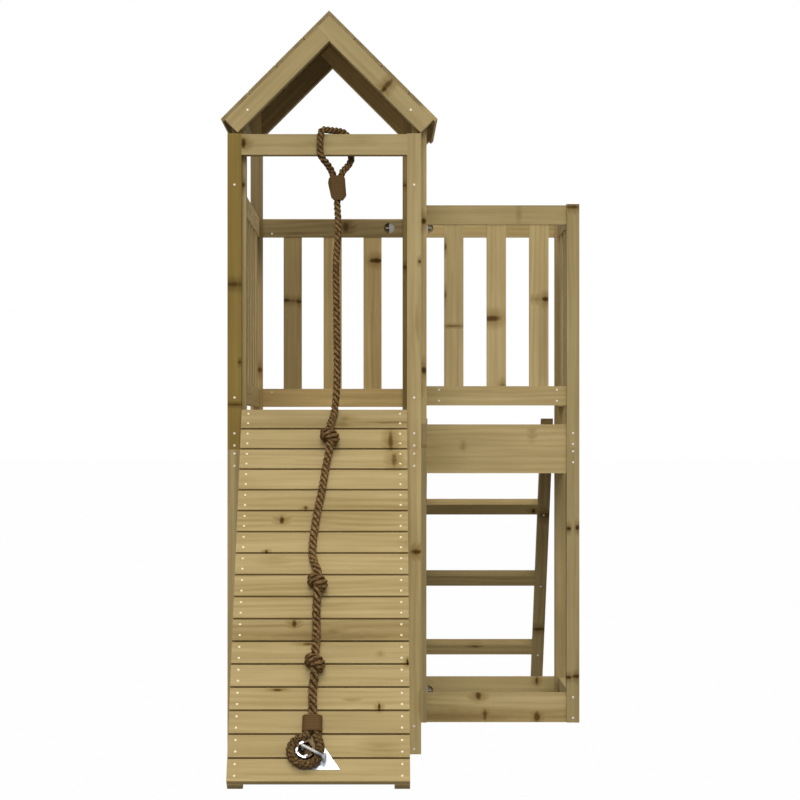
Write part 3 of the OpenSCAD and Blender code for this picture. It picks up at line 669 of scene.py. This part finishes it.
# Stretches of a timber lighter or darker than the rest: place, half sizes along and across the grain, gain.
# These are mostly painted light and shade: painted shadow on the rear top rail, on the top of the rear left post
# and on the top of the right upright; painted light on the lower uprights, the top faces of the top rung and
# under the right roof eave
woodPaintedLightShade = {
    # Painted shadow on the rear top rail behind the extension
    "rear_rails": [(780, 1086, 1518, 250, 60, 0.55)],
    "extension_pickets": [(906, 650, 1150, 130, 12, 0.8)],
    # Painted shadow on the top of the rear left post
    "rear_post_left": [(20, 1067, 1720, 330, 60, 0.41)],
    "left_upright_lower": [(19, 0, 150, 400, 60, 1.13)],
    "right_upright_lower": [(512, 0, 350, 480, 60, 1.25)],
    "right_upright_upper": [(512, 0, 1600, 200, 60, 0.9)],
    # Painted light on the top faces of the top rung
    "ladder_rungs": [(752, 1246.8, 643.8, 400, 2.0, 1.55)],
    # Painted light under the eave of the right roof
    "roof_boards_right": [(560, 250, 1718, 700, 50, 1.6)],
}


def paint(piece, material):
    piece.data.materials.clear()
    piece.data.materials.append(material)


for number, (nodeName, (tone, along, stack, pitch)) in enumerate(timbers.items()):
    piece = nodes[nodeName]
    low = min(v.co.dot(Vector(stack)) for v in piece.data.vertices)
    woodSettings = {
        "along": along, "stack": stack, "pitch": pitch, "start": low - 0.002, "seed": 0.37 + number * 1.31,
        "spread": 0.05, "knotColour": linear(69, 46, 8), "marks": woodMarks.get(nodeName, []),
        "levels": boardLevels.get(nodeName, []), "gain": timberGains.get(nodeName, 1.0),
        "paintedLightShade": woodPaintedLightShade.get(nodeName, []),
    }
    woodSettings.update(woodTones[tone])
    paint(piece, woodMaterial("wood " + nodeName, woodSettings))
print("timbers painted:", len(timbers))


def ropeMaterial(name, settings):
    material, tree, shader, place = startMaterial(name)
    fine = place.noise(place, settings["fibreRate"], 3.0)
    patch = place.noise(place, settings["patchRate"], 2.0)
    crown = place.node("ShaderNodeAttribute", {}, "Fac", attribute_name="crown")
    lump = place.noise(place, settings["lumpRate"], 2.0)
    # The rope is darker towards the ground
    tone = (1.0 - place.dot(upZ).ramp(*settings["lowDarkeningHeights"])) * settings["lowDarkening"]
    for noise, (low, high, share) in zip((fine, lump, patch), settings["shares"]):
        tone = tone + noise.ramp(low, high) * share
    colour = place.mix(tone, settings["light"], settings["dark"])
    # Painted shade: the inner sides of the strands, down in the grooves, take the groove colour
    feed(tree, shader, "Base Color", place.mix(crown.ramp(*settings["crown"]), settings["grooveShade"], colour))
    feed(tree, shader, "Roughness", 0.75 + fine * 0.2)
    feed(tree, shader, "Specular IOR Level", 0.05)
    height = fine * (1.0 - settings["lumpBump"]) + lump * settings["lumpBump"]
    bump = place.node("ShaderNodeBump", {
        "Height": height, "Strength": settings["bump"], "Distance": settings["bumpDepth"]})
    feed(tree, shader, "Normal", bump)
    return material


# Shares: band of fibres, lumps and patches and what each adds to the dark. The rope darkens towards the ground,
# and the grooves between the strands are painted shade
ropeLook = {
    "light": linear(164, 130, 86), "dark": linear(64, 45, 22), "grooveShade": linear(44, 29, 13),
    "fibreRate": 380.0, "lumpRate": 150.0, "patchRate": 18.0,
    "shares": ((0.35, 0.65, 0.35), (0.4, 0.6, 0.5), (0.3, 0.7, 0.15)),
    "crown": (-0.1, 0.9), "lowDarkening": 0.16, "lowDarkeningHeights": (0.2, 0.6), "lumpBump": 0.6, "bump": 0.8, "bumpDepth": 0.003,
}
ropePaint = ropeMaterial("rope", ropeLook)
paint(ropeRun, ropePaint)
# The loop and the knots are darker, the eye is frayed and darker
turnedLook = dict(ropeLook, light=linear(148, 116, 75), dark=linear(58, 40, 18), lowDarkening=0.0)
turnedPaint = ropeMaterial("rope turns", turnedLook)
for piece in [ropeLoop] + knots:
    paint(piece, turnedPaint)
eyeLook = dict(
    ropeLook, light=linear(136, 108, 70), dark=linear(34, 22, 8), grooveShade=linear(36, 23, 10), lumpRate=190.0, lowDarkening=0.0)
paint(ropeEye, ropeMaterial("rope eye", eyeLook))


def sleeveMaterial(name, settings):
    material, tree, shader, place = startMaterial(name)
    ribs = place.maths("SINE", place.dot(settings["along"]) * settings["ribRate"]) * 0.5 + 0.5
    grain = place.noise(place, settings["grainRate"], 2.0)
    # Painted shade: the colour darkens in the hollows between the ribs, following the rib bump
    share = ribs * settings["ribShadeShare"] + grain * settings["grainShare"]
    colour = place.mix(share, settings["dark"], settings["light"])
    feed(tree, shader, "Base Color", colour)
    feed(tree, shader, "Roughness", 0.55 + grain * 0.2)
    feed(tree, shader, "Specular IOR Level", 0.15)
    bump = place.node("ShaderNodeBump", {"Height": ribs, "Strength": 0.25, "Distance": 0.0015})
    feed(tree, shader, "Normal", bump)
    return material


sleeveLook = {
    "light": linear(110, 82, 44), "dark": linear(62, 44, 19), "ribRate": 1250.0, "grainRate": 300.0,
    "ribShadeShare": 0.55, "grainShare": 0.4,
}
paint(nodes["upper_sleeve"], sleeveMaterial("upper sleeve", dict(sleeveLook, along=upZ)))
paint(nodes["lower_sleeve"], sleeveMaterial("lower sleeve", dict(sleeveLook, along=rampUp)))


def steelMaterial(name, settings):
    material, tree, shader, place = startMaterial(name)
    scratch = place.noise(place, settings["rate"], 3.0)
    colour = place.mix(scratch, settings["light"], settings["dark"])
    metallic = settings["metallic"]
    if "reflectionAndLugGrey" in settings:
        above = (place.dot(tuple(settings["normal"])) - settings["level"]).ramp(0.0, settings["levelEdge"])
        patch = place.noise(place, settings["patchRate"], 1.0)
        away = place.node(
            "ShaderNodeVectorMath", {0: place, 1: tuple(settings["eye"])}, 0, operation="SUBTRACT").length()
        if "bar" in settings:
            colour = place.mix(above, colour, settings["bar"])
            reflectionAndLugMask = away.ramp(*settings["lugReach"])
            metallic = metallic - above * settings["barDull"]
        else:
            reflectionAndLugMask = patch.ramp(*settings["clear"])
        # On the thimble this paints patches of reflected rope, a painted reflection; on the hanger it greys the lug
        colour = place.mix(reflectionAndLugMask * above, colour, settings["reflectionAndLugGrey"])
        within = (1.0 - away.ramp(*settings["eyeReach"])) * (1.0 - above)
        # Painted reflection of the rope on the plate inside the eye
        colour = place.mix(patch.ramp(*settings["mirrorBand"]) * within, colour, settings["paintedReflection"])
    feed(tree, shader, "Base Color", colour)
    feed(tree, shader, "Metallic", metallic)
    feed(tree, shader, "Roughness", settings["roughness"] + scratch * 0.15)
    return material


steelLook = {
    "light": linear(236, 238, 240), "dark": linear(196, 200, 204), "rate": 260.0, "metallic": 1.0, "roughness": 0.25,
}
screwLook = {
    "light": linear(214, 200, 166), "dark": linear(180, 166, 132), "rate": 900.0, "metallic": 0.4, "roughness": 0.4,
}
# Painted reflection: the bright steel of the eye gets dark brown patches standing in for the rope it mirrors, on
# the thimble and on the flat plate inside the eye; the rest of the plate stays bright
rampNormal = rampPoint(0, 0, 1.0) - rampPoint(0, 0, 0.0)
plateTop = rampPoint(0, 0, 0.004)
mirrorLook = dict(
    steelLook, light=linear(224, 231, 238), paintedReflection=linear(48, 38, 24), patchRate=55.0, mirrorBand=(0.42, 0.47),
    normal=rampNormal, level=plateTop.dot(rampNormal), levelEdge=0.001, eye=rampPoint(230, 1018, 0.0),
    eyeReach=(0.03, 0.034))
# The hook bar is dull and pale, the lug beyond it grey
hangerLook = dict(
    mirrorLook, bar=linear(176, 172, 166), barDull=0.7, reflectionAndLugGrey=linear(112, 112, 116), lugReach=(0.044, 0.052))
# Painted reflection: the thimble is patched with the dark brown of the rope it mirrors
thimbleLook = dict(mirrorLook, reflectionAndLugGrey=linear(66, 54, 40), clear=(0.36, 0.42))
paint(nodes["hanger_hook"], steelMaterial("steel hanger", hangerLook))
paint(nodes["thimble"], steelMaterial("steel thimble", thimbleLook))
boltLook = dict(steelLook, light=linear(186, 184, 182), dark=linear(96, 92, 86), metallic=0.4, roughness=0.45)
paint(nodes["rear_bolts"], steelMaterial("steel rear_bolts", boltLook))
paint(nodes["ramp_screws"], steelMaterial("ramp screws", screwLook))
headLook = dict(screwLook, light=linear(236, 230, 217), dark=linear(210, 202, 186), metallic=0.3, roughness=0.5)
paint(nodes["frame_screws"], steelMaterial("frame screws", headLook))
print("rope and steel painted")

floorSettings = {"size": 60.0, "white": 0.985, "bounce": 0.3}


def makeFloor(settings):
    edge = settings["size"]
    corners = [(-edge, -edge, 0), (edge, -edge, 0), (edge, edge, 0), (-edge, edge, 0)]
    floor = makeMesh("floor", corners, [(0, 1, 2, 3)])
    material, tree, shader, place = startMaterial("floor")
    feed(tree, shader, "Base Color", (settings["bounce"], settings["bounce"], settings["bounce"], 1.0))
    feed(tree, shader, "Roughness", 1.0)
    light = tree.nodes.new("ShaderNodeLightPath")
    seen = Value(tree, light.outputs["Is Camera Ray"]) + Value(tree, light.outputs["Is Glossy Ray"])
    seen = seen.maths("MINIMUM", seen, 1.0) * settings["white"]
    glow = tree.nodes.new("ShaderNodeEmission")
    blend = tree.nodes.new("ShaderNodeMixShader")
    output = next(n for n in tree.nodes if n.type == "OUTPUT_MATERIAL")
    tree.links.new(seen.socket, blend.inputs[0])
    tree.links.new(shader.outputs[0], blend.inputs[1])
    tree.links.new(glow.outputs[0], blend.inputs[2])
    tree.links.new(blend.outputs[0], output.inputs["Surface"])
    paint(floor, material)


def makeWorld(strength):
    world = bpy.data.worlds.new("world")
    bpy.context.scene.world = world
    world.use_nodes = True
    tree = world.node_tree
    background = next(n for n in tree.nodes if n.type == "BACKGROUND")
    background.inputs["Color"].default_value = (1.0, 1.0, 1.0, 1.0)
    light = tree.nodes.new("ShaderNodeLightPath")
    seen = Value(tree, light.outputs["Is Camera Ray"]) + Value(tree, light.outputs["Is Glossy Ray"])
    seen = seen.maths("MINIMUM", seen, 1.0)
    level = seen * (1.0 - strength) + strength
    tree.links.new(level.socket, background.inputs["Strength"])


def makeSun(name, aim, strength, spread):
    data = bpy.data.lights.new(name, "SUN")
    data.energy = strength
    data.angle = math.radians(spread)
    sun = bpy.data.objects.new(name, data)
    sun.rotation_euler = Vector(aim).to_track_quat("-Z", "Y").to_euler()
    bpy.context.scene.collection.objects.link(sun)


skyStrength = 0.55
# Each sun: aim, strength, spread in degrees
suns = {"frontSun": ((0.0, 0.906, -0.42), 1.15, 25.0), "highSun": ((0.0, 0.5, -0.866), 0.9, 30.0)}
makeFloor(floorSettings)
makeWorld(skyStrength)
for name, (aim, strength, spread) in suns.items():
    makeSun(name, aim, strength, spread)
bpy.context.scene.view_settings.view_transform = "Standard"
print("stage and lights made")
